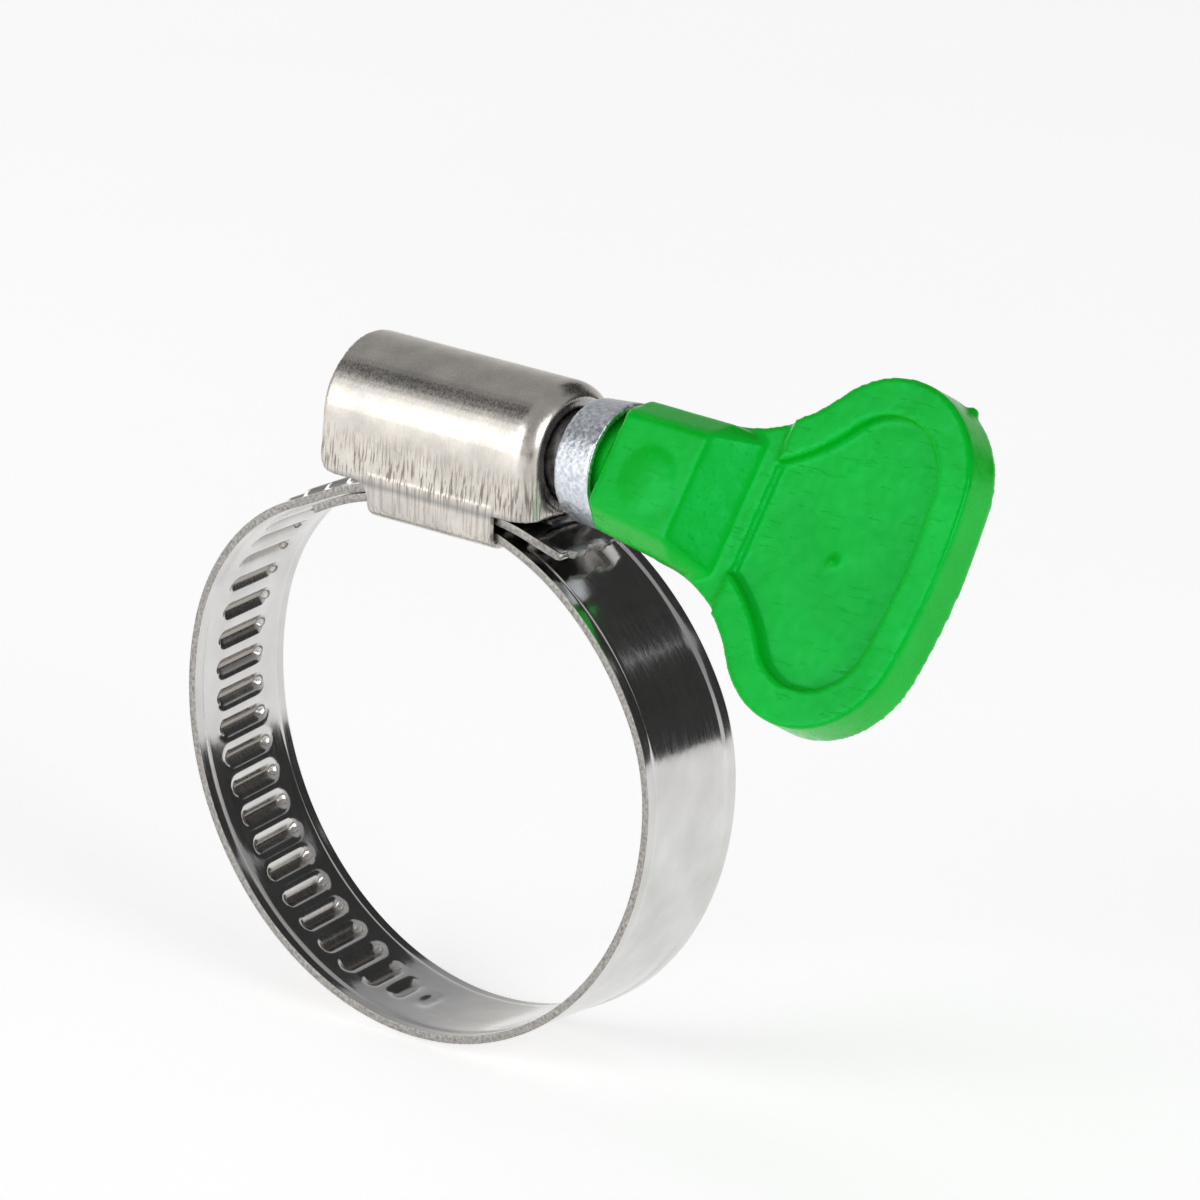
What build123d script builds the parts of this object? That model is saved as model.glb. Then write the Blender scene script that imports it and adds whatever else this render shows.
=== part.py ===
from build123d import *

import os
from math import acos, atan2, cos, degrees, hypot, pi, radians, sin, sqrt

# Worm-drive hose clamp with a wing key.
# Origin: centre of the hose bore. +X: along the screw, towards the key.
# +Y: along the hose. +Z: up, towards the screw.

os.makedirs("parts", exist_ok=True)

# ---- driving dimensions, millimetres and degrees ----
band_width = 8.0
band_thickness = 0.5
bore_radius = 17.65
screw_height = 19.27

rib_pitch = 1.9
rib_width = 0.52
rib_length = 4.4
rib_height = 0.33
loop_rib_count = 25
split_rib = 3.5              # the strip is cut into its two nodes this many ribs left of its top
split_gap = 0.04

saddle_x = 0.5               # both layers under the screw lie on arcs about this centre
saddle_z = -2.7
saddle_radius = 18.1
layer_gap = 0.1
mouth_angle = 115.0          # left of this the threaded layer runs straight
tail_bend_angle = 84.0       # right of this the free tail runs straight
tail_straight = 3.8
tail_curl_radius = 12.5
tail_curl = 22.0
tail_corner = 1.0
tongue_end_x = -8.5
right_shoulder_radius = 12.0
left_shoulder_radius = 13.0

sheet = 0.5
shell_left = -7.35
shell_right = 9.0
arch_radius = 4.35
skirt_half_width = 4.65
skirt_bottom = 15.95
leg_left = -3.6
leg_right = 6.1
leg_bottom = 13.72
leg_corner = 1.1
leg_sweep = 1.1
end_roll = 1.5
lip_radius = 3.6
neck_clearance = 0.08

thread_right = 7.6
thread_radius = 2.94
thread_root = 2.6
thread_crest = 0.4
thread_foot = 0.8
flange_radius = 3.35         # holds the screw in, behind the housing's swaged end
neck_radius = 2.75
collar_left = 10.2
collar_right = 13.0
collar_radius_left = 3.76
collar_radius_right = 4.0
recess_radius = 3.55
recess_depth = 1.4
spigot_radius = 2.3
spigot_end = 18.5

key_start = 13.0             # the key's own axis starts here, on the screw's axis
wing_turn = 30.0             # the wing's plane, turned about the screw from upright
key_lean = 5.0               # the pressed-on key sits this much off the screw's axis
boss_radius = 3.3
hub_start = 0.8
hub_end = 7.2
hub_height = 8.2
hub_swell = 0.9
hub_depth = 7.3
hub_draft = 1.15
hub_corner = 0.7
ramp_length = 2.2
wing_thickness = 2.9
web_thickness = 1.3
throat_thickness = 2.1       # lower than the rim, higher than the web
lobe_x = 18.1
lobe_offset = 4.5
lobe_radius = 6.3
wing_end_radius = 36.0
rim_width = 2.3
web_start = 10.7
throat_half_width = 4.5
throat_blend = 10.0

ring_radius = bore_radius + band_thickness / 2
threaded_radius = saddle_radius + band_thickness + layer_gap


# ---- helpers ----
def on_circle(centre, radius, angle):
    """The point at this angle of a circle in the ring's plane."""
    return (centre[0] + radius * cos(radians(angle)), centre[1] + radius * sin(radians(angle)))


def bearing(start, end):
    """The direction from one point to another, in degrees."""
    return degrees(atan2(end[1] - start[1], end[0] - start[0]))


def strip_plane(point, tangent):
    """A plane on a strip's outer face: X along the strip, Z outwards."""
    along = Vector(tangent.X, 0, tangent.Z).normalized()
    outward = along.cross(Vector(0, 1, 0))
    if outward.dot(point) < 0:
        outward = -outward
    origin = point + outward * (band_thickness / 2 - 0.05)
    return Plane(origin=origin, x_dir=along, z_dir=outward)


def to_space(line):
    """A wire drawn in the ring's plane, moved to where it is in the part."""
    return Plane.XZ * line


helix_slant = degrees(atan2(rib_pitch, 2 * pi * (thread_radius - rib_height / 2)))

# ---- the strip's route, in the ring's plane ----
origin_point = (0, 0)
saddle_centre = (saddle_x, saddle_z)

# right shoulder: tangent to the saddle arc and to the main ring from inside
gap_ring = ring_radius - right_shoulder_radius
gap_saddle = saddle_radius - right_shoulder_radius
centre_span = hypot(saddle_x, saddle_z)
turn = acos((gap_ring**2 + centre_span**2 - gap_saddle**2) / (2 * gap_ring * centre_span))
shoulder_angle = bearing(origin_point, saddle_centre) + degrees(turn)
right_centre = on_circle(origin_point, gap_ring, shoulder_angle)
right_join = bearing(saddle_centre, right_centre)

# left shoulder: a straight run leaves the threaded arc and bends into the main ring
mouth = on_circle(saddle_centre, threaded_radius, mouth_angle)
run_start = on_circle(saddle_centre, threaded_radius - left_shoulder_radius, mouth_angle)
run_toward = on_circle(origin_point, 1, mouth_angle + 90)
along_run = run_start[0] * run_toward[0] + run_start[1] * run_toward[1]
off_run = hypot(run_start[0], run_start[1])
run = sqrt(along_run**2 - off_run**2 + (ring_radius - left_shoulder_radius) ** 2) - along_run
run_end = (mouth[0] + run * run_toward[0], mouth[1] + run * run_toward[1])
left_centre = (run_start[0] + run * run_toward[0], run_start[1] + run * run_toward[1])
left_angle = bearing(origin_point, left_centre) % 360
tongue_angle = degrees(acos((tongue_end_x - saddle_x) / saddle_radius))

# the cut between the two nodes falls midway between two ribs
split_angle = 90 + split_rib * degrees(rib_pitch / threaded_radius)
loop_stop = split_angle + degrees(split_gap / threaded_radius)

with BuildLine() as loop_route:
    CenterArc(saddle_centre, saddle_radius, tongue_angle, right_join - tongue_angle)
    CenterArc(right_centre, right_shoulder_radius, right_join, shoulder_angle - right_join)
    CenterArc(origin_point, ring_radius, shoulder_angle, left_angle - 360 - shoulder_angle)
    CenterArc(left_centre, left_shoulder_radius, left_angle, mouth_angle - left_angle)
    Line(run_end, mouth)
    CenterArc(saddle_centre, threaded_radius, mouth_angle, loop_stop - mouth_angle)

tail_bend = on_circle(saddle_centre, threaded_radius, tail_bend_angle)
curl_start = (
    tail_bend[0] + tail_straight * sin(radians(tail_bend_angle)),
    tail_bend[1] - tail_straight * cos(radians(tail_bend_angle)),
)
curl_centre = (
    curl_start[0] - tail_curl_radius * cos(radians(tail_bend_angle)),
    curl_start[1] - tail_curl_radius * sin(radians(tail_bend_angle)),
)
with BuildLine() as tail_route:
    CenterArc(saddle_centre, threaded_radius, split_angle, tail_bend_angle - split_angle)
    Line(tail_bend, curl_start)
    CenterArc(curl_centre, tail_curl_radius, tail_bend_angle, -tail_curl)

# ---- band loop: the fixed tongue, the saddle and the ring round the hose ----
loop_wire = to_space(loop_route.wire())

with BuildPart() as band_loop:
    with BuildSketch(Plane.XZ):
        with BuildLine():
            add(loop_route.line)
        trace(line_width=band_thickness)
    extrude(amount=band_width / 2, both=True)
    for number in range(loop_rib_count):
        distance = loop_wire.length + split_gap - (number + 0.5) * rib_pitch
        place = loop_wire.position_at(distance, position_mode=PositionMode.LENGTH)
        heading = loop_wire.tangent_at(distance, position_mode=PositionMode.LENGTH)
        with BuildSketch(strip_plane(place, heading)):
            SlotOverall(rib_length, rib_width, rotation=90 - helix_slant)
        extrude(amount=rib_height + 0.05)
band_loop.part.label = "band_loop"
export_step(band_loop.part, "parts/band_loop.step")

# ---- band tail: the same strip's threaded end, through the housing ----
tail_wire = to_space(tail_route.wire())
tail_rib_count = int((tail_wire.length - 0.8) / rib_pitch)

with BuildPart() as band_tail:
    with BuildSketch(Plane.XZ):
        with BuildLine():
            add(tail_route.line)
        trace(line_width=band_thickness)
    extrude(amount=band_width / 2, both=True)
    tip_edges = band_tail.edges().filter_by(Axis.Y, reverse=True).sort_by(Axis.X)[-4:]
    corners = [edge for edge in tip_edges if edge.length < 1.5 * band_thickness]
    fillet(corners, radius=tail_corner)
    for number in range(tail_rib_count):
        distance = (number + 0.5) * rib_pitch
        place = tail_wire.position_at(distance, position_mode=PositionMode.LENGTH)
        heading = tail_wire.tangent_at(distance, position_mode=PositionMode.LENGTH)
        with BuildSketch(strip_plane(place, heading)):
            SlotOverall(rib_length, rib_width, rotation=90 - helix_slant)
        extrude(amount=rib_height + 0.05)
band_tail.part.label = "band_tail"
export_step(band_tail.part, "parts/band_tail.step")

# ---- housing: one stamped shell, arch over the screw, leg wrapped under the band ----
screw_axis_yz = (0, screw_height)


def arch_outline(inset, drop):
    """Arch over the screw with its skirt walls, inset by the sheet where asked."""
    radius = arch_radius - inset
    foot = skirt_half_width - inset
    reach = hypot(foot, skirt_bottom - screw_height)
    lean = degrees(atan2(skirt_bottom - screw_height, foot)) + degrees(acos(radius / reach))
    right = (radius * cos(radians(lean)), screw_height + radius * sin(radians(lean)))
    left = (-right[0], right[1])
    Line(left, (-foot, skirt_bottom))
    if drop > 0:
        Polyline(
            (-foot, skirt_bottom),
            (-foot, skirt_bottom - drop),
            (foot, skirt_bottom - drop),
            (foot, skirt_bottom),
        )
    else:
        Line((-foot, skirt_bottom), (foot, skirt_bottom))
    Line((foot, skirt_bottom), right)
    ThreePointArc(right, (0, screw_height + radius), left)


with BuildPart() as housing:
    with BuildSketch(Plane.YZ.offset(shell_left)):
        with BuildLine():
            arch_outline(0, 0)
        make_face()
    extrude(amount=shell_right - shell_left)
    rolled = housing.faces().sort_by(Axis.X)[-1].edges()
    fillet([edge for edge in rolled if edge.center().Z > skirt_bottom + 0.1], radius=end_roll)
    leg_height = skirt_bottom + 0.5 - leg_bottom
    with BuildSketch(Plane.YZ.offset(leg_left)):
        with Locations((0, leg_bottom + leg_height / 2)):
            leg_outline = Rectangle(2 * skirt_half_width, leg_height)
        lower = leg_outline.vertices().group_by(Axis.Y)[0]
        fillet(lower, radius=leg_corner)
    extrude(amount=leg_right - leg_left)
    # notch corners at the mouth
    mouth_corners = housing.edges().filter_by(Axis.Y).group_by(Axis.X)[0].group_by(Axis.Z)[0]
    fillet(mouth_corners, radius=1.0)
    # the skirt sweeps down into the leg
    with BuildSketch(Plane.XZ):
        with Locations((leg_left, skirt_bottom + 0.2)):
            Rectangle(leg_sweep, leg_sweep + 0.2, align=(Align.MAX, Align.MAX))
        with Locations((leg_left - leg_sweep, skirt_bottom - leg_sweep)):
            Circle(leg_sweep, mode=Mode.SUBTRACT)
    extrude(amount=skirt_half_width - 0.02, both=True)
    # the shell's own cavity, open at the mouth and below
    cavity_end = shell_right - sheet
    with BuildSketch(Plane.YZ.offset(shell_left - 1)):
        with BuildLine():
            arch_outline(sheet, 0.6)
        make_face()
    extrude(amount=cavity_end - shell_left + 1, mode=Mode.SUBTRACT)
    # the leg's cavity, through which both layers of the band pass
    passage_height = skirt_bottom - leg_bottom - sheet
    with BuildSketch(Plane.YZ.offset(leg_left - 2)):
        with Locations((0, leg_bottom + sheet + passage_height / 2)):
            passage = Rectangle(2 * (skirt_half_width - sheet), passage_height + 0.2)
        fillet(passage.vertices().group_by(Axis.Y)[0], radius=0.12)
    extrude(amount=leg_right - leg_left + 3, mode=Mode.SUBTRACT)
    # the lip round the screw's neck
    neck_hole = neck_radius + neck_clearance
    with BuildSketch(Plane.YZ.offset(shell_right)):
        with Locations(screw_axis_yz):
            Circle(lip_radius)
    extrude(amount=-0.45 * sheet, taper=45, mode=Mode.SUBTRACT)
    with BuildSketch(Plane.YZ.offset(shell_right)):
        with Locations(screw_axis_yz):
            Circle(neck_hole)
    extrude(amount=-2 * sheet, mode=Mode.SUBTRACT)
housing.part.label = "housing"
export_step(housing.part, "parts/housing.step")

# ---- worm screw: thread, neck, flared collar with a recess, and the key's spigot ----
# the thread starts on the underside, midway between two ribs
thread_first = saddle_x - split_rib * rib_pitch
thread_left = thread_first - thread_foot / 2
thread_start = Plane(origin=(thread_first, 0, screw_height), x_dir=(0, 0, -1), z_dir=(1, 0, 0))
thread_run = thread_right - thread_foot / 2 - thread_first

with BuildPart() as thread:
    with BuildLine() as thread_path:
        Helix(pitch=rib_pitch, height=thread_run, radius=thread_root)
    start = thread_path.line @ 0
    profile_plane = Plane(origin=start, x_dir=(1, 0, 0), z_dir=thread_path.line % 0)
    with BuildSketch(profile_plane):
        with BuildLine():
            depth = thread_radius - thread_root
            Polyline(
                (-0.15, -thread_foot / 2),
                (depth, -thread_crest / 2),
                (depth, thread_crest / 2),
                (-0.15, thread_foot / 2),
                close=True,
            )
        make_face()
    sweep(path=thread_path.line, is_frenet=True)

with BuildPart() as worm_screw:
    with BuildSketch(Plane.XZ):
        with BuildLine():
            Polyline(
                (thread_left, screw_height),
                (thread_left, screw_height + thread_root - 0.4),
                (thread_left + 0.4, screw_height + thread_root),
                (thread_right, screw_height + thread_root),
                (thread_right, screw_height + flange_radius),
                (cavity_end - 0.1, screw_height + flange_radius),
                (cavity_end - 0.1, screw_height + neck_radius),
                (collar_left, screw_height + neck_radius),
                (collar_left, screw_height + collar_radius_left),
                (collar_right, screw_height + collar_radius_right),
                (collar_right, screw_height + recess_radius),
                (collar_right - recess_depth, screw_height + recess_radius),
                (collar_right - recess_depth, screw_height + spigot_radius),
                (spigot_end, screw_height + spigot_radius),
                (spigot_end, screw_height),
                close=True,
            )
        make_face()
    revolve(axis=Axis((0, 0, screw_height), (1, 0, 0)))
    add(thread_start * thread.part)
worm_screw.part.label = "worm_screw"
export_step(worm_screw.part, "parts/worm_screw.step")

# ---- wing key: hub with a round boss, throat, and a rimmed wing ----
turn_rad = radians(wing_turn)
lean_rad = radians(key_lean)
wing_up = Vector(0, sin(turn_rad), cos(turn_rad))
wing_normal = Vector(0, -cos(turn_rad), sin(turn_rad))
key_axis = Vector(1, 0, 0) * cos(lean_rad) - wing_up * sin(lean_rad)
key_plane = Plane(origin=(key_start, 0, screw_height), x_dir=key_axis, z_dir=wing_normal)
hub_plane = Plane(origin=(key_start, 0, screw_height), x_dir=wing_normal, z_dir=key_axis)


# each throat is an arc that leaves the hub's side and meets a lobe without a corner
blend_y = throat_half_width + throat_blend
throat_x = lobe_x - sqrt((lobe_radius + throat_blend) ** 2 - (blend_y - lobe_offset) ** 2)
throat_centre = (throat_x, blend_y)
lobe_centre = (lobe_x, lobe_offset)
end_centre = (lobe_x - sqrt((wing_end_radius - lobe_radius) ** 2 - lobe_offset**2), 0)
throat_bearing = bearing(throat_centre, lobe_centre)
end_bearing = bearing(end_centre, lobe_centre)


def wing_outline(inset, start_x):
    """The wing's edge moved inwards, closed by a straight line across at start_x."""
    radius = throat_blend + inset
    start_angle = -degrees(acos((start_x - throat_x) / radius))
    start = on_circle(throat_centre, radius, start_angle)
    Line((start_x, 0), start)
    CenterArc(throat_centre, radius, start_angle, throat_bearing - start_angle)
    lobe_start = throat_bearing + 180
    CenterArc(lobe_centre, lobe_radius - inset, lobe_start, end_bearing - lobe_start)
    CenterArc(end_centre, wing_end_radius - inset, end_bearing, -end_bearing)
    mirror(about=Plane.XZ)


def hub_section(depth, height, draft, corner):
    """The hub's outline across its axis: flat on both faces, its sides drawn in towards them."""
    face, middle, shoulder = depth / 2, height / 2, height / 2 - draft
    side = 0.28 * depth
    Polygon(
        (side, middle),
        (face, shoulder),
        (face, -shoulder),
        (side, -middle),
        (-side, -middle),
        (-face, -shoulder),
        (-face, shoulder),
        (-side, middle),
        align=None,
    )
    fillet(vertices(), radius=corner)


with BuildPart() as thumb_key:
    # wing plate, throats blended into the lobes
    with BuildSketch(key_plane):
        with BuildLine():
            wing_outline(0, throat_x)
        make_face()
    extrude(amount=wing_thickness / 2, both=True)
    # the throat lies lower than the rim on both faces
    for side in (1, -1):
        with BuildSketch(key_plane.offset(side * wing_thickness / 2)):
            with Locations((web_start - hub_end / 2, 0)):
                Rectangle(hub_end, 2 * hub_height)
        extrude(amount=-side * (wing_thickness - throat_thickness) / 2, mode=Mode.SUBTRACT)
    # hub: a block that swells a little, then ramps down to the throat
    with BuildSketch(hub_plane.offset(hub_start)):
        hub_section(hub_depth, hub_height, hub_draft, hub_corner)
    with BuildSketch(hub_plane.offset(hub_end)):
        hub_section(hub_depth, hub_height + hub_swell, hub_draft, hub_corner)
    loft()
    with BuildSketch(hub_plane.offset(hub_end)):
        hub_section(hub_depth, hub_height + hub_swell, hub_draft, hub_corner)
    with BuildSketch(hub_plane.offset(hub_end + ramp_length)):
        hub_section(throat_thickness, 2 * throat_half_width, 0.3, 0.2)
    loft()
    # a web, recessed inside the rim on both faces
    for side in (1, -1):
        with BuildSketch(key_plane.offset(side * wing_thickness / 2)):
            with BuildLine():
                wing_outline(rim_width, web_start)
            make_face()
        extrude(amount=-side * (wing_thickness - web_thickness) / 2, mode=Mode.SUBTRACT)
    # boss that enters the collar, and the bore for the screw's spigot
    with BuildSketch(Plane.YZ.offset(collar_right - recess_depth + 0.3)):
        with Locations(screw_axis_yz):
            Circle(boss_radius)
    extrude(amount=recess_depth + 1.5)
    with BuildSketch(Plane.YZ.offset(collar_left)):
        with Locations(screw_axis_yz):
            Circle(spigot_radius)
    extrude(amount=spigot_end - collar_left, mode=Mode.SUBTRACT)
thumb_key.part.label = "thumb_key"
export_step(thumb_key.part, "parts/thumb_key.step")
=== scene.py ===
# %% [markdown]
# # A worm-drive hose clamp with a wing key
#
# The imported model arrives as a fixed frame: five nodes on three bodies. The clamp body
# carries the stamped housing and the steel ring, the screw body carries the worm screw and
# its green key, and the threaded end of the band slides under the screw. Every length in
# this lesson is in metres, so a millimetre gets its own name.

import math

import bpy
from mathutils import Matrix, Vector


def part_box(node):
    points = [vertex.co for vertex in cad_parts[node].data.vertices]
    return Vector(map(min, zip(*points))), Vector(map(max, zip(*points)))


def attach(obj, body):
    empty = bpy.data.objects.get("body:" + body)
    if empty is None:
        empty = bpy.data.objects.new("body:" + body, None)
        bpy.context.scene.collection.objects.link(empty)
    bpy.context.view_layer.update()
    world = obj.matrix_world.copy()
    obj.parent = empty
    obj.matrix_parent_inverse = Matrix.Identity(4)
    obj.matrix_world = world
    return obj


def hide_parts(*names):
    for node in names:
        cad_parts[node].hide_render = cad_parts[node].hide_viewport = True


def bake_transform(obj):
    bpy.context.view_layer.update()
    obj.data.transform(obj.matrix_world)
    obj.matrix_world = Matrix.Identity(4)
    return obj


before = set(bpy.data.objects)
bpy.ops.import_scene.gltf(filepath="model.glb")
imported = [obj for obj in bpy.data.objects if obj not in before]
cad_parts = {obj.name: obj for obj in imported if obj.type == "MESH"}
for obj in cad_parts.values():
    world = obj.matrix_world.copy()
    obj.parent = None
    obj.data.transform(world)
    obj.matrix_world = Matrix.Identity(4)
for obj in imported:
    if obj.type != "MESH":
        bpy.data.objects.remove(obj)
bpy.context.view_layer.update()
MM = 0.001
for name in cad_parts:
    low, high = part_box(name)
    print(name, [round(value / MM, 2) for value in (high - low)], "mm")

# %% [markdown]
# ## The camera
#
# The camera comes first, because every later choice is judged through it. It looks down a
# little on the clamp from its front right, through a long lens, so the ring is nearly a
# plain ellipse. Its three directions are worked out from two angles and a small roll.

# %% Camera
turn, height, roll = math.radians(40.07), math.radians(17.83), math.radians(1.08)
back = Vector((math.sin(turn) * math.cos(height), -math.cos(turn) * math.cos(height), math.sin(height)))
level = Vector((0, 0, 1)).cross(back).normalized()
lift = back.cross(level)
right = level * math.cos(roll) + lift * math.sin(roll)
up = lift * math.cos(roll) - level * math.sin(roll)

lens = bpy.data.cameras.new("camera")
lens.sensor_width = 36
lens.lens = 356.03
lens.clip_start, lens.clip_end = 0.05, 10
camera = bpy.data.objects.new("camera", lens)
bpy.context.scene.collection.objects.link(camera)
place = back * 0.711 + right * 8.437 * MM + up * 7.952 * MM
camera.matrix_world = Matrix.Translation(place) @ Matrix((right, up, back)).transposed().to_4x4()
bpy.context.scene.camera = camera
print("camera stands", [round(value, 3) for value in place])

# %% [markdown]
# ## Small helpers
#
# An operator works on whatever is selected, so each step starts by clearing the selection.
# A copy of a CAD node is merged, because a CAD mesh is loose triangles, and is then rebuilt
# on a fine even grid. That grid is what rounds the sharp corners: a few smoothing passes
# turn each edge into the small radius that stamping, plating or moulding leaves.

# %% Helpers for objects
def deselect_all():
    """Leave edit mode, and leave nothing selected."""
    if bpy.context.object and bpy.context.object.mode != "OBJECT":
        bpy.ops.object.mode_set(mode="OBJECT")
    bpy.ops.object.select_all(action="DESELECT")


def make_active(obj):
    """Select one object and nothing else."""
    deselect_all()
    obj.select_set(True)
    bpy.context.view_layer.objects.active = obj


def finish_modifiers(obj):
    """Apply every modifier, from the first to the last."""
    make_active(obj)
    for modifier in list(obj.modifiers):
        bpy.ops.object.modifier_apply(modifier=modifier.name)


def softened_copy(node, name, grid, passes, extras=()):
    """A merged copy of a CAD node and its extras, rebuilt on an even grid with worn corners."""
    piece = bpy.data.objects.new(name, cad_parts[node].data.copy())
    bpy.context.scene.collection.objects.link(piece)
    make_active(piece)
    for extra in extras:
        extra.select_set(True)
    if extras:
        bpy.ops.object.join()
    piece.data.transform(Matrix.Scale(1 / MM, 4))
    bpy.ops.object.mode_set(mode="EDIT")
    bpy.ops.mesh.select_all(action="SELECT")
    bpy.ops.mesh.remove_doubles(threshold=0.002)
    bpy.ops.object.mode_set(mode="OBJECT")
    remesh = piece.modifiers.new("even grid", "REMESH")
    remesh.mode = "VOXEL"
    remesh.voxel_size = grid
    worn = piece.modifiers.new("worn corners", "SMOOTH")
    worn.factor, worn.iterations = 0.5, passes
    finish_modifiers(piece)
    piece.data.transform(Matrix.Scale(MM, 4))
    piece.data.materials.clear()
    bpy.ops.object.shade_smooth()
    print(name, len(piece.data.polygons), "faces")
    return piece


# %% [markdown]
# ## Finishes
#
# Each finish is a small node graph on the Principled shader. The same few nodes come back
# in all of them: noise at two or three sizes drives the colour, the roughness and a shallow
# bump, because no metal or plastic reflects evenly all over.

# %% Helpers for finishes
def new_finish(name, colour, metal, rough):
    """A material with its Principled shader set to plain starting values."""
    finish = bpy.data.materials.new(name)
    finish.use_nodes = True
    shader = finish.node_tree.nodes["Principled BSDF"]
    shader.inputs["Base Color"].default_value = (*colour, 1)
    shader.inputs["Metallic"].default_value = metal
    shader.inputs["Roughness"].default_value = rough
    return finish, finish.node_tree, shader


def add_node(tree, kind, values=None, **settings):
    """A node with its settings, and with its sockets filled or wired."""
    node = tree.nodes.new(kind)
    for name, value in settings.items():
        setattr(node, name, value)
    for name, value in (values or {}).items():
        if isinstance(value, bpy.types.NodeSocket):
            tree.links.new(value, node.inputs[name])
        else:
            node.inputs[name].default_value = value
    return node


def place_on(tree, socket, stretch):
    """Coordinates in millimetres, stretched along each direction."""
    coordinate = add_node(tree, "ShaderNodeTexCoord")
    scale = tuple(value / MM if socket == "Object" else value for value in stretch)
    values = {"Vector": coordinate.outputs[socket], "Scale": scale}
    return add_node(tree, "ShaderNodeMapping", values).outputs[0]


def noise(tree, where, scale, detail=4.0):
    """Grey noise with features about 1 / scale millimetres across."""
    values = {"Vector": where, "Scale": scale, "Detail": detail}
    return add_node(tree, "ShaderNodeTexNoise", values).outputs["Fac"]


def spread(tree, source, low, high, start=0.3, end=0.7):
    """A noise value moved from start..end to low..high."""
    values = {"Value": source, "From Min": start, "From Max": end, "To Min": low, "To Max": high}
    return add_node(tree, "ShaderNodeMapRange", values).outputs["Result"]


def colour_between(tree, source, dark, light, start=0.3, end=0.7):
    """Two colours mixed by a noise value."""
    factor = spread(tree, source, 0, 1, start, end)
    node = add_node(tree, "ShaderNodeMix", data_type="RGBA")
    tree.links.new(factor, node.inputs["Factor"])
    node.inputs["A"].default_value = (*dark, 1)
    node.inputs["B"].default_value = (*light, 1)
    return node.outputs["Result"]


def bump(tree, shader, source, depth, under=None):
    """A shallow relief. Depth is in millimetres."""
    values = {"Height": source, "Distance": depth * MM, "Strength": 1.0}
    if under:
        values["Normal"] = under
    node = add_node(tree, "ShaderNodeBump", values)
    tree.links.new(node.outputs[0], shader.inputs["Normal"])
    return node.outputs[0]


# %% [markdown]
# ### Polished stainless strip
#
# The strip is cold rolled and bright, so it is close to a mirror. Its fine lines run along
# its length. They follow the strip's own UV map, where U runs along the strip and V across
# it, both in millimetres, so the lines go round the ring with the metal. The ribs are pressed
# later, and the press leaves a dull brownish film in them: an attribute named pressed, which
# the strip stores at each point, says how deep the metal is pushed in there.

# %% Polished strip
bright_steel, tree, shader = new_finish("bright_steel", (0.70, 0.69, 0.68), 1.0, 0.12)
lines = noise(tree, place_on(tree, "UV", (0.25, 9.0, 1)), 1.6, 6)
cloud = noise(tree, place_on(tree, "UV", (0.35, 0.5, 1)), 0.8, 3)
tone = colour_between(tree, cloud, (0.62, 0.61, 0.60), (0.74, 0.73, 0.72))
pressed = add_node(tree, "ShaderNodeAttribute", attribute_name="pressed").outputs["Fac"]
in_rib = spread(tree, pressed, 0, 1, 0.06, 0.34)
film = add_node(tree, "ShaderNodeMix", {"Factor": in_rib}, data_type="RGBA")
tree.links.new(tone, film.inputs["A"])
film.inputs["B"].default_value = (0.40, 0.37, 0.34, 1)
tree.links.new(film.outputs["Result"], shader.inputs["Base Color"])
duller = add_node(tree, "ShaderNodeMath", {0: in_rib, 1: 0.16}, operation="MULTIPLY").outputs[0]
rolled = spread(tree, lines, 0.07, 0.2)
gloss = add_node(tree, "ShaderNodeMath", {0: rolled, 1: duller}, operation="ADD").outputs[0]
tree.links.new(gloss, shader.inputs["Roughness"])
waves = bump(tree, shader, cloud, 0.02)
bump(tree, shader, lines, 0.0016, waves)

# %% [markdown]
# ### Slit edge
#
# The strip is slit from a wide coil and never polished on its edges. The cut leaves a dull,
# grainy grey face, which is a second material on the strip's rim.

# %% Slit edge
slit_edge, tree, shader = new_finish("slit_edge", (0.42, 0.40, 0.38), 1.0, 0.42)
grain = noise(tree, place_on(tree, "Object", (1, 1, 1)), 4.5, 8)
tone = colour_between(tree, grain, (0.20, 0.19, 0.18), (0.52, 0.50, 0.47))
tree.links.new(tone, shader.inputs["Base Color"])
tree.links.new(spread(tree, grain, 0.3, 0.55), shader.inputs["Roughness"])
bump(tree, shader, grain, 0.02)

# %% [markdown]
# ### Stamped housing
#
# The housing is drawn from softer sheet. The die drags fine upright lines down its sides,
# mostly low down, and leaves cloudy grey patches on its crown. A faint dark band of painted
# shade darkens the fold where the shell becomes the leg.

# %% Stamped steel
stamped_steel, tree, shader = new_finish("stamped_steel", (0.62, 0.60, 0.57), 1.0, 0.26)
drag = noise(tree, place_on(tree, "Object", (6.5, 6.5, 0.4)), 1.1, 8)
patch = noise(tree, place_on(tree, "Object", (1, 1, 1)), 0.55, 5)
pits = noise(tree, place_on(tree, "Object", (1, 1, 1)), 4.0, 6)
tone = colour_between(tree, patch, (0.56, 0.53, 0.49), (0.74, 0.70, 0.64))
where = add_node(tree, "ShaderNodeTexCoord").outputs["Object"]
upright = add_node(tree, "ShaderNodeSeparateXYZ", {"Vector": where}).outputs["Z"]
shell_side = spread(tree, upright, 1, 0, 17.4 * MM, 19.4 * MM)
on_leg = spread(tree, upright, 0.4, 1, 15.6 * MM, 16.6 * MM)
low_down = add_node(tree, "ShaderNodeMath", {0: shell_side, 1: on_leg}, operation="MULTIPLY").outputs[0]
worn = spread(tree, drag, 0, 0.9, 0.48, 0.6)
share = add_node(tree, "ShaderNodeMath", {0: low_down, 1: worn}, operation="MULTIPLY").outputs[0]
rubbed = add_node(tree, "ShaderNodeMix", {"Factor": share}, data_type="RGBA")
tree.links.new(tone, rubbed.inputs["A"])
rubbed.inputs["B"].default_value = (0.2, 0.165, 0.13, 1)
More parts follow.
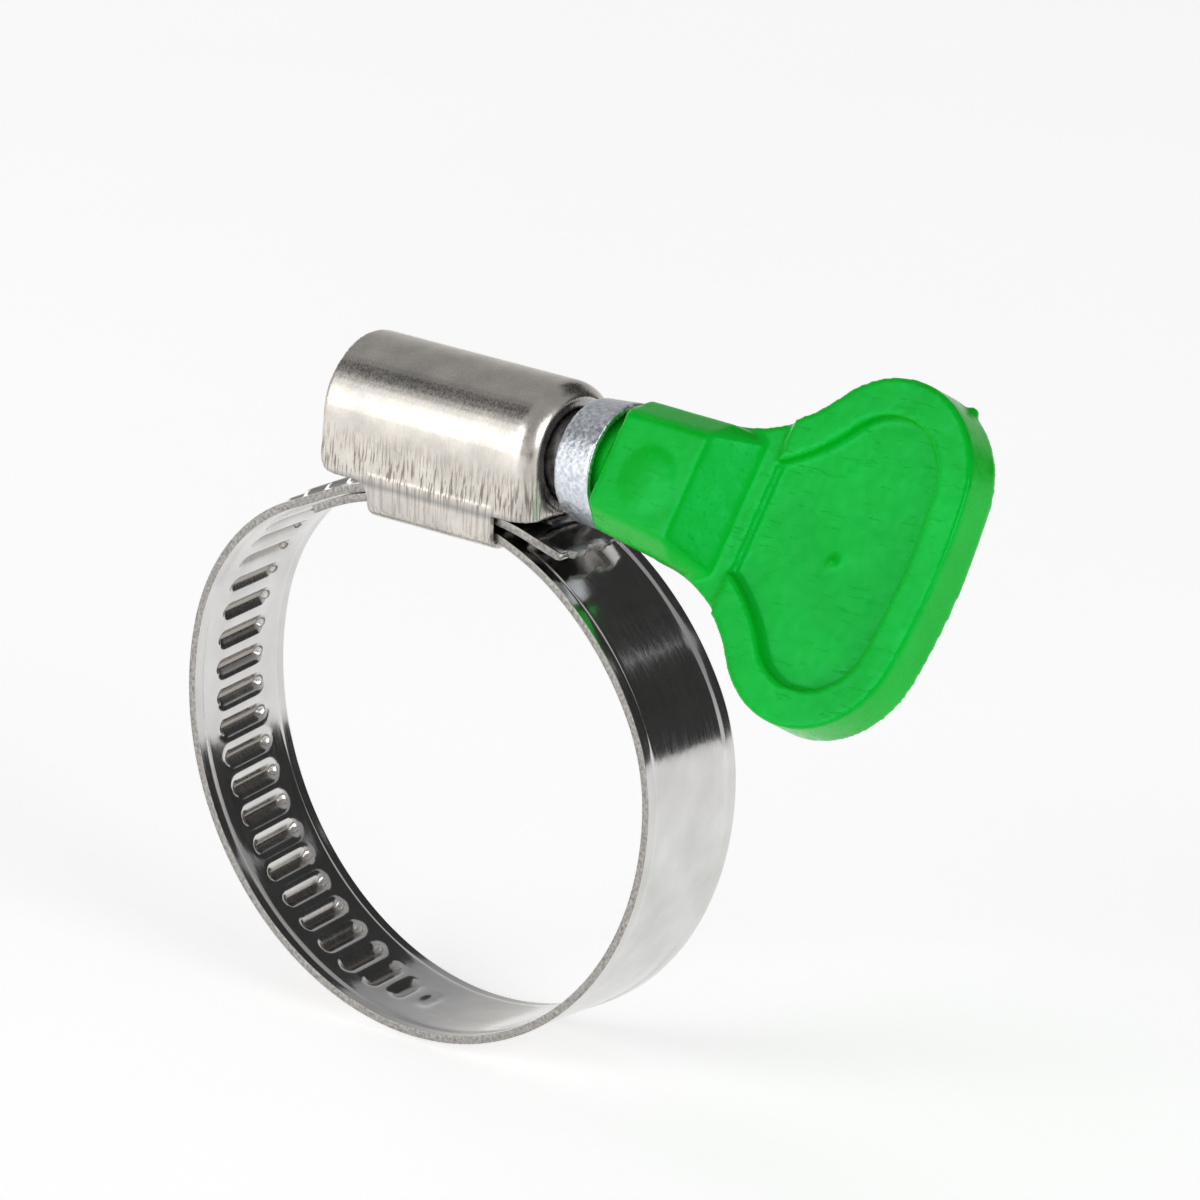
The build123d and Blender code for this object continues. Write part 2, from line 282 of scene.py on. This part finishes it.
# painted shade: a faint dark band along the fold where the shell becomes the leg
above = spread(tree, upright, 0, 1, 15.6 * MM, 15.9 * MM)
below = spread(tree, upright, 0.5, 0, 15.95 * MM, 16.3 * MM)
fold_shade = add_node(tree, "ShaderNodeMath", {0: above, 1: below}, operation="MULTIPLY").outputs[0]
with_fold_shade = add_node(tree, "ShaderNodeMix", {"Factor": fold_shade}, data_type="RGBA")
tree.links.new(rubbed.outputs["Result"], with_fold_shade.inputs["A"])
with_fold_shade.inputs["B"].default_value = (0.17, 0.18, 0.2, 1)
tree.links.new(with_fold_shade.outputs["Result"], shader.inputs["Base Color"])
tree.links.new(spread(tree, drag, 0.2, 0.34), shader.inputs["Roughness"])
lined = bump(tree, shader, share, 0.005)
bump(tree, shader, pits, 0.0022, lined)

# %% [markdown]
# ### Zinc plate
#
# Zinc has a cold blue-grey spangle: small crystals, each a slightly different grey, with
# dull white bloom between them.

# %% Zinc plate
zinc_plate, tree, shader = new_finish("zinc_plate", (0.60, 0.63, 0.67), 1.0, 0.34)
where = place_on(tree, "Object", (1, 1, 1))
crystals = add_node(tree, "ShaderNodeTexVoronoi", {"Vector": where, "Scale": 2.6}).outputs["Distance"]
bloom = noise(tree, where, 4.0, 9)
tone = colour_between(tree, bloom, (0.54, 0.58, 0.64), (0.82, 0.85, 0.89), 0.35, 0.65)
tree.links.new(tone, shader.inputs["Base Color"])
tree.links.new(spread(tree, bloom, 0.25, 0.5), shader.inputs["Roughness"])
rough_zinc = bump(tree, shader, bloom, 0.03)
bump(tree, shader, crystals, 0.02, rough_zinc)

# %% [markdown]
# ### Thread in painted shade
#
# Inside the housing the screw is coloured dark, as painted shade for the gap it sits in. Only a
# little of it shows, in the gap between the housing and the collar, and it makes that gap read
# as deep.

# %% Thread in painted shade
# painted shade: a dark finish that stands for the shadow inside the housing's mouth
shaded_thread, tree, shader = new_finish("shaded_thread", (0.1, 0.1, 0.1), 1.0, 0.4)
mottle = noise(tree, place_on(tree, "Object", (1, 1, 1)), 1.8, 6)
tone = colour_between(tree, mottle, (0.05, 0.05, 0.05), (0.16, 0.16, 0.165))
tree.links.new(tone, shader.inputs["Base Color"])
tree.links.new(spread(tree, mottle, 0.3, 0.5), shader.inputs["Roughness"])
bump(tree, shader, mottle, 0.02)

# %% [markdown]
# ### Moulded green plastic
#
# The key is a saturated green moulding. Its skin copies a mould that was only lightly
# polished, so it has a soft gloss with faint flow marks and a few hairline scratches.

# %% Green plastic
green_plastic, tree, shader = new_finish("green_plastic", (0.0, 0.40, 0.05), 0.0, 0.34)
where = place_on(tree, "Object", (1, 1, 1))
flow = noise(tree, where, 0.16, 3)
skin = noise(tree, where, 1.6, 6)
hairs = noise(tree, place_on(tree, "Object", (0.35, 5.0, 2.4)), 1.3, 6)
scratch = spread(tree, hairs, 0, 1, 0.64, 0.67)
tone = colour_between(tree, flow, (0.0, 0.40, 0.008), (0.0, 0.50, 0.02))
tree.links.new(tone, shader.inputs["Base Color"])
tree.links.new(spread(tree, skin, 0.16, 0.34), shader.inputs["Roughness"])
shader.inputs["Specular IOR Level"].default_value = 0.6
shader.inputs["Specular Tint"].default_value = (0.1, 1.0, 0.5, 1)
wavy = bump(tree, shader, flow, 0.12)
fine = bump(tree, shader, skin, 0.012, wavy)
bump(tree, shader, scratch, 0.012, fine)
print([material.name for material in bpy.data.materials])

# %% [markdown]
# ## The band
#
# The band is one strip of thin steel. The easiest way to make it is the way the factory
# does: start with a flat strip, press the ribs into it, curl its two long edges a little,
# and roll it round. Its path is a list of bends, each a length and a radius, laid end to
# end from the fixed tongue, over the saddle, round the hose, under the screw and out to the
# free tail.

# %% The path of the strip
SADDLE = Vector((0.5, -2.7))
RING, SADDLE_ARC, THREADED_ARC = 17.9, 18.1, 18.7
RIGHT_BEND, LEFT_BEND = 12.0, 13.0
MOUTH, TAIL_START = math.radians(115), math.radians(84)
PITCH = 1.9


def toward(angle):
    """A unit step in the ring's plane."""
    return Vector((math.cos(angle), math.sin(angle)))


tongue_angle = math.acos((-8.5 - SADDLE.x) / SADDLE_ARC)
near, far = RING - RIGHT_BEND, SADDLE_ARC - RIGHT_BEND
span = SADDLE.length
bend_angle = math.atan2(SADDLE.y, SADDLE.x) + math.acos((near**2 + span**2 - far**2) / (2 * near * span))
join = toward(bend_angle) * near - SADDLE
join_angle = math.atan2(join.y, join.x)
start_run = SADDLE + toward(MOUTH) * (THREADED_ARC - LEFT_BEND)
along_run = start_run.dot(toward(MOUTH + math.pi / 2))
run = math.sqrt(along_run**2 - start_run.length_squared + (RING - LEFT_BEND) ** 2) - along_run
left_centre = start_run + toward(MOUTH + math.pi / 2) * run
left_angle = math.atan2(left_centre.y, left_centre.x)

bends = [
    ((tongue_angle - join_angle) * SADDLE_ARC, SADDLE_ARC),
    ((join_angle - bend_angle) * RIGHT_BEND, RIGHT_BEND),
    ((bend_angle - left_angle + 2 * math.pi) * RING, RING),
    ((left_angle - MOUTH) * LEFT_BEND, LEFT_BEND),
    (run, None),
    ((MOUTH - TAIL_START) * THREADED_ARC, THREADED_ARC),
    (3.8, None),
    (math.radians(22) * 12.5, 12.5),
]
strip_length = sum(length for length, radius in bends)
top_rib = sum(length for length, radius in bends[:5]) + (MOUTH - math.pi / 2) * THREADED_ARC
print("the strip is", round(strip_length, 1), "mm long; a rib lies under the screw at", round(top_rib, 1))


def on_strip(distance):
    """The strip's middle line and its outward direction at a distance from the tongue's end."""
    point, facing = SADDLE + toward(tongue_angle) * SADDLE_ARC, tongue_angle
    left = distance
    for number, (length, radius) in enumerate(bends):
        step = left if number == len(bends) - 1 else min(max(left, 0), length)
        step = left if number == 0 and left < 0 else step
        if radius is None:
            point = point + toward(facing - math.pi / 2) * step
        else:
            centre = point - toward(facing) * radius
            facing -= step / radius
            point = centre + toward(facing) * radius
        left -= step
        if left <= 0:
            break
    return point, toward(facing)


# %% [markdown]
# The flat strip is a grid. Its cross rows are close together where the ribs are, and its long
# rows are close together where the ribs end and where a faint line is pressed in along each
# edge. A rib is pressed outwards through the whole thickness: a pocket inside, a ridge
# outside. The last ribs, at the bottom of the ring, are pressed less and less deep.

# %% The flat strip with its ribs
HALF_WIDTH, COLLAR_START = 4.0, 9.9
SLANT = math.tan(math.radians(6.0))
rib_numbers = range(-28, 5)
rib_share = {-28: 0.3, -27: 0.55, -26: 0.8}


def smooth_step(value, start, end):
    """0 before start, 1 after end, and a soft S between them."""
    share = min(max((value - start) / (end - start), 0), 1)
    return share * share * (3 - 2 * share)


def relief(distance, across):
    """How far the strip's face is pressed outwards, in millimetres."""
    number = round((distance - SLANT * across - top_rib) / PITCH)
    curl = 0.08 * smooth_step(abs(across), 3.08, 3.42)
    curl *= smooth_step(distance, 15, 20) * (1 - smooth_step(distance, top_rib - 14, top_rib - 8))
    if number not in rib_numbers:
        return curl
    off = abs(distance - SLANT * across - top_rib - number * PITCH)
    share = rib_share.get(number, 1)
    off_end = max(0, abs(across) - 1.45 * share)
    from_spine = math.hypot(off, off_end)
    # the ribs that meet the thread are a little slimmer and lower, and clear it
    reach, depth = (0.86, 0.42) if number < -7 else (0.68, 0.34)
    return curl + depth * share * (1 - smooth_step(from_spine, 0.12, reach))


first_rib = top_rib + rib_numbers[0] * PITCH - PITCH / 2
inner_rows = [0.12 * step for step in range(8)]
rib_rows = [-0.95] + [-value for value in reversed(inner_rows[1:])] + inner_rows
rows = [0.42 * step for step in range(int(first_rib / 0.42))]
for number in rib_numbers:
    middle = top_rib + number * PITCH
    rows += [middle + offset for offset in rib_rows]
rows = [row for row in rows if row < strip_length - 0.3]
rows += [strip_length - 0.25, strip_length - 0.1, strip_length]
# close together over a rib's rounded end, and again over the pressed edge line
rib_end_lines = [1.35, 1.55, 1.7, 1.84, 1.98, 2.12, 2.26, 2.45, 2.75]
edge_lines = [3.06, 3.15, 3.25, 3.35, 3.45, 3.7, 3.9, HALF_WIDTH]
half_lines = [0.5, 1.0] + rib_end_lines + edge_lines
lines_across = [-value for value in reversed(half_lines)] + [0] + half_lines
print(len(rows), "cross rows and", len(lines_across), "long rows")

# %% Roll the strip
deselect_all()
bpy.ops.mesh.primitive_grid_add(x_subdivisions=len(rows) - 1, y_subdivisions=len(lines_across) - 1, size=1)
band = bpy.context.object
band.name = "steel_band"
order = sorted(band.data.vertices, key=lambda v: (round(v.co.x, 6), round(v.co.y, 6)))
uv_of = {}
pressed = band.data.attributes.new("pressed", "FLOAT", "POINT")
for index, vertex in enumerate(order):
    row, line = divmod(index, len(lines_across))
    across = lines_across[line]
    distance = rows[row]
    from_tail, from_tongue = strip_length - distance, distance
    # both ends are sheared off: rounded corners on the tail, and a ragged cut on each
    corner = max(0, 1 - from_tail / 1.1)
    across *= 1 - 0.25 * (1 - math.sqrt(1 - corner**2))
    ragged = 0.13 * math.sin(across * 2.9 + 0.7) + 0.09 * math.sin(across * 7.3)
    distance += ragged * (max(0, 1 - from_tail / 1.5) + max(0, 1 - from_tongue / 1.5))
    inside = 1 - smooth_step(abs(across), 2.6, 3.8)
    # the rows lean with the ribs, and stand straight again before the tail's end
    leaning = smooth_step(rows[row], first_rib - 4, first_rib)
    leaning -= smooth_step(rows[row], strip_length - 2.2, strip_length - 1)
    distance += SLANT * across * inside * leaning
    point, outward = on_strip(distance)
    depth = relief(distance, across)
    point = point + outward * depth
    pressed.data[vertex.index].value = depth
    vertex.co = Vector((point.x, across, point.y)) * MM
    uv_of[vertex.index] = (distance, across)
uv_layer = band.data.uv_layers.active
for loop in band.data.loops:
    uv_layer.data[loop.index].uv = uv_of[loop.vertex_index]
print("the rolled strip has", len(band.data.vertices), "points")

# %% [markdown]
# Solidify gives the strip its half millimetre of steel, equally to both sides of the middle
# line, and puts the slit-edge finish on the rim. A narrow bevel breaks the four long
# corners.

# %% Thickness and edges
band.data.materials.append(bright_steel)
band.data.materials.append(slit_edge)
make_active(band)
bpy.ops.object.mode_set(mode="EDIT")
bpy.ops.mesh.select_all(action="SELECT")
bpy.ops.mesh.normals_make_consistent(inside=False)
bpy.ops.object.mode_set(mode="OBJECT")
thick = band.modifiers.new("sheet", "SOLIDIFY")
thick.thickness, thick.offset, thick.use_quality_normals = 0.5 * MM, 0, True
thick.material_offset_rim = 1
broken = band.modifiers.new("broken corners", "BEVEL")
broken.width, broken.segments = 0.07 * MM, 2
broken.limit_method, broken.angle_limit = "ANGLE", math.radians(72)
finish_modifiers(band)
bpy.ops.object.shade_smooth_by_angle(angle=math.radians(50))
print("steel_band", len(band.data.polygons), "faces")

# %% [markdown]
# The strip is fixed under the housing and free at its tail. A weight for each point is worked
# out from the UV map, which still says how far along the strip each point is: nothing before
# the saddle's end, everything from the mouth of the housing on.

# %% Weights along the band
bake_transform(band)
fixed_until = bends[0][0]
free_from = sum(length for length, radius in bends[:5])
weights = [0.0] * len(band.data.vertices)
uv_layer = band.data.uv_layers.active
for loop in band.data.loops:
    share = (uv_layer.data[loop.index].uv.x - fixed_until) / (free_from - fixed_until)
    weights[loop.vertex_index] = min(max(share, 0), 1)
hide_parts("band_loop", "band_tail")

# %% [markdown]
# ## Housing, screw and key
#
# These three are solid shapes that the frame already has right, so each visible piece is a
# softened copy. The grid is fine on the thin sheet and coarser on the plastic. Left of the
# collar the screw's faces get a second finish, a dark painted shade for the gap inside the housing.

# %% Housing
housing = softened_copy("housing", "stamped_housing", 0.11, 3)
housing.data.materials.append(stamped_steel)
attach(housing, "clamp")
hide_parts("housing")

# %% Screw
screw = softened_copy("worm_screw", "plated_screw", 0.13, 2)
screw.data.materials.append(zinc_plate)
screw.data.materials.append(shaded_thread)
# the faces left of the collar get the painted shade
for face in screw.data.polygons:
    face.material_index = 1 if face.center.x < COLLAR_START * MM else 0
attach(screw, "screw")
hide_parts("worm_screw")

# %% [markdown]
# The key keeps some marks of its making: the stub of the gate where the plastic was let in,
# in the middle of the web, and a small nub of flash on the rim. Its hub also has a faint raised
# patch. Each starts as a ball, is flattened towards its own middle, and melts into the key when
# the grid is rebuilt. All three are placed in the key's own directions: along it, across its
# wing, and out of its face.

# %% Key
wing_turn, key_lean = math.radians(30), math.radians(5)
wing_up = Vector((0, math.sin(wing_turn), math.cos(wing_turn)))
out_of_face = Vector((0, -math.cos(wing_turn), math.sin(wing_turn)))
along_key = Vector((1, 0, 0)) * math.cos(key_lean) - wing_up * math.sin(key_lean)
across_key = out_of_face.cross(along_key)


def on_key(along, across, out):
    """A point in the key's own directions, in millimetres."""
    return (Vector((13, 0, 19.27)) + along_key * along + across_key * across + out_of_face * out) * MM


def moulding_mark(name, place, radius, height):
    """A small flattened dome that faces out of the key."""
    deselect_all()
    bpy.ops.mesh.primitive_uv_sphere_add(segments=24, ring_count=12, radius=radius * MM, location=place)
    mark = bpy.context.object
    mark.name = name
    make_active(mark)
    bpy.ops.object.transform_apply(location=True, rotation=True, scale=True)
    for vertex in mark.data.vertices:
        off = (vertex.co - place).dot(out_of_face)
        vertex.co -= out_of_face * off * (1 - height / radius)
    return mark


gate = moulding_mark("gate", on_key(16.95, -0.75, 0.6), 0.28, 0.5)
nub = moulding_mark("nub", on_key(20.4, 10.3, -1.2), 0.42, 0.5)
patch_mark = moulding_mark("patch", on_key(4.4, -0.4, 3.55), 2.2, 0.26)
key = softened_copy("thumb_key", "green_key", 0.15, 8, (gate, nub, patch_mark))
key.data.materials.append(green_plastic)
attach(key, "screw")
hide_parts("thumb_key")

# %% [markdown]
# ## Floor and light
#
# Bright metal shows the room more than itself. The room here is pale and even, with a soft
# darkness high up. Four dark cards, which the camera doesn't see, stand where the steel mirrors
# them: two behind, for the outer face of the ring, one at the left, for the dark line along
# the housing's shoulder, and one low in front, for the rolled end of the housing.

# %% Floor
deselect_all()
bpy.ops.mesh.primitive_plane_add(size=4, location=(0, 0, -18.6 * MM))
floor = bpy.context.object
floor.name = "floor"
pale, tree, shader = new_finish("pale_floor", (0.9, 0.9, 0.9), 0.0, 0.7)
cloth = noise(tree, place_on(tree, "Object", (0.02, 0.02, 0.02)), 1.0)
tone = colour_between(tree, cloth, (0.9, 0.9, 0.9), (0.92, 0.92, 0.92))
tree.links.new(tone, shader.inputs["Base Color"])
shader.inputs["Specular IOR Level"].default_value = 0.1
shader.inputs["Emission Color"].default_value = (1, 1, 1, 1)
shader.inputs["Emission Strength"].default_value = 0.42
floor.data.materials.append(pale)


# %% Light
def softbox(name, location, size, power):
    """A square lamp that faces the clamp."""
    light = bpy.data.lights.new(name, "AREA")
    light.size, light.energy = size, power
    lamp = bpy.data.objects.new(name, light)
    bpy.context.scene.collection.objects.link(lamp)
    lamp.location = location
    lamp.rotation_euler = (-Vector(location)).to_track_quat("-Z", "Y").to_euler()
    print(name, power, "W")


softbox("front light", (-0.3, -0.75, 0.3), 0.6, 2.6)
softbox("right light", (0.75, -0.15, 0.3), 0.4, 1.6)
softbox("far light", (-0.85, 0.25, 0.25), 0.4, 0.9)

room = bpy.data.worlds.new("room")
bpy.context.scene.world = room
room.use_nodes = True
tree = room.node_tree
direction = add_node(tree, "ShaderNodeTexCoord").outputs["Generated"]
rise = add_node(tree, "ShaderNodeSeparateXYZ", {"Vector": direction}).outputs["Z"]
ramp = add_node(tree, "ShaderNodeValToRGB", {"Fac": spread(tree, rise, 0, 1, -1, 1)})
ramp.color_ramp.elements[0].color = (0.9, 0.9, 0.9, 1)
ramp.color_ramp.elements[1].color = (0.5, 0.5, 0.5, 1)
ramp.color_ramp.elements.new(0.52).color = (0.85, 0.83, 0.80, 1)
ramp.color_ramp.elements.new(0.66).color = (0.62, 0.62, 0.62, 1)
ramp.color_ramp.elements.new(0.8).color = (0.42, 0.42, 0.43, 1)
tree.links.new(ramp.outputs[0], tree.nodes["Background"].inputs["Color"])
tree.nodes["Background"].inputs["Strength"].default_value = 0.8


def dark_card(name, location, width, tall):
    """A dark card that only reflections see."""
    deselect_all()
    facing = (-Vector(location)).to_track_quat("Z", "Y").to_euler()
    bpy.ops.mesh.primitive_plane_add(size=1, location=location, rotation=facing)
    card = bpy.context.object
    card.name = name
    card.scale = (width, tall, 1)
    black, tree, shader = new_finish(name, (0.02, 0.02, 0.02), 0, 0.9)
    grain = noise(tree, place_on(tree, "Object", (0.01, 0.01, 0.01)), 1.0)
    tone = colour_between(tree, grain, (0.015, 0.015, 0.015), (0.03, 0.03, 0.03))
    tree.links.new(tone, shader.inputs["Base Color"])
    card.data.materials.append(black)
    card.visible_camera = False
    card.visible_diffuse = False


dark_card("back card", (0.42, 0.61, 0.2), 0.75, 0.42)
dark_card("high card", (0.08, 0.64, 0.56), 0.7, 0.5)
dark_card("left card", (-0.48, -0.24, 0.58), 0.22, 0.3)
dark_card("low card", (0.3, -0.25, -0.016), 0.25, 0.12)
bpy.context.scene.view_settings.view_transform = "Standard"
